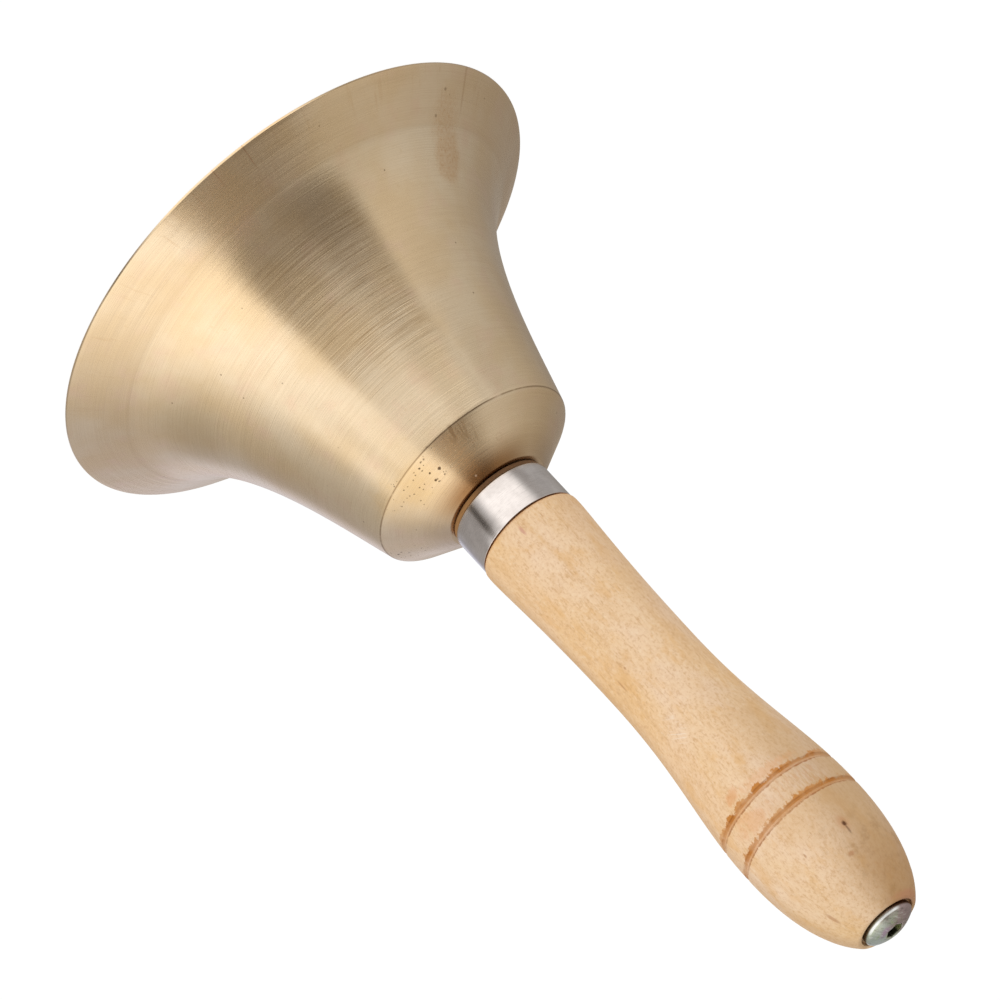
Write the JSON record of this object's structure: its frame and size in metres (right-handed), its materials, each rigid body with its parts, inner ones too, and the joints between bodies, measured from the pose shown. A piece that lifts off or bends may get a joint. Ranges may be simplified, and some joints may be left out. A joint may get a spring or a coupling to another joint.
{
  "type": "handbell",
  "caption": "Brass handbell with a flared mouth, a turned wooden handle held by a through bolt, and a clapper that hangs on a link and swings.",
  "frame": {"origin": "centre of the bell's mouth, on the plane of the rim that the bell stands on", "axes": "+Z along the turning axis, from the mouth to the butt of the handle; the clapper's main swing is in the XZ plane"},
  "size_m": [0.13, 0.13, 0.215],
  "materials": {
    "turned_brass": "satin, lathe-turned, unlacquered",
    "turned_hardwood": "pale hardwood, sanded, thin clear finish",
    "polished_steel": "polished ring",
    "zinc_plate": "zinc plated with a faint coloured passivation",
    "leather": "dark, edge only in view",
    "clapper_steel": "plain turned steel"
  },
  "bodies": {
    "bell": {"bell_shell": "turned_brass", "crown_gasket": "leather", "ferrule": "polished_steel", "handle": "turned_hardwood", "cap_nut": "zinc_plate", "eye_bolt": "zinc_plate", "crown_washer": "zinc_plate", "lock_washer": "zinc_plate", "crown_nut": "zinc_plate"},
    "link": {"clapper_link": "zinc_plate"},
    "clapper": {"clapper_rod": "clapper_steel", "clapper_ball": "clapper_steel", "clapper_nut": "clapper_steel"}
  },
  "joints": [
    {"name": "clapper_swing", "type": "hinge", "parent": "bell", "child": "link", "pos_m": [0, 0, 0.05438], "axis": [0, 1, 0], "range_deg": [-41.5, 41.5]},
    {"name": "clapper_sway", "type": "hinge", "parent": "link", "child": "clapper", "pos_m": [0, 0, 0.04528], "axis": [1, 0, 0], "range_deg": [-10, 10]}
  ]
}
